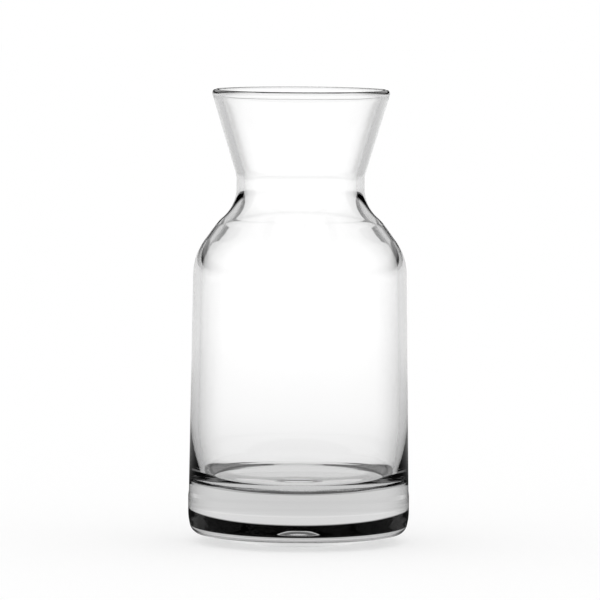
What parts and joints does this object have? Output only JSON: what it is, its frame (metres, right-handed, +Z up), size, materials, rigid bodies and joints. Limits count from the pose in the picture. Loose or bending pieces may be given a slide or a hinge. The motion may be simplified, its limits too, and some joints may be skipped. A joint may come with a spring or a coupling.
{
  "type": "water carafe",
  "caption": "Clear glass water carafe in one piece: thick foot, straight body, narrow throat and a flared mouth with a rounded lip.",
  "frame": {"origin": "centre of the standing ring, on the table", "axes": "+Z up the carafe's axis, from the foot to the mouth; +X and +Y are equal, because the carafe is round"},
  "size_m": [0.0732, 0.0732, 0.15],
  "materials": {
    "clear_glass": "clear, fire polished"
  },
  "bodies": {
    "root": {"carafe": "clear_glass"}
  },
  "joints": []
}
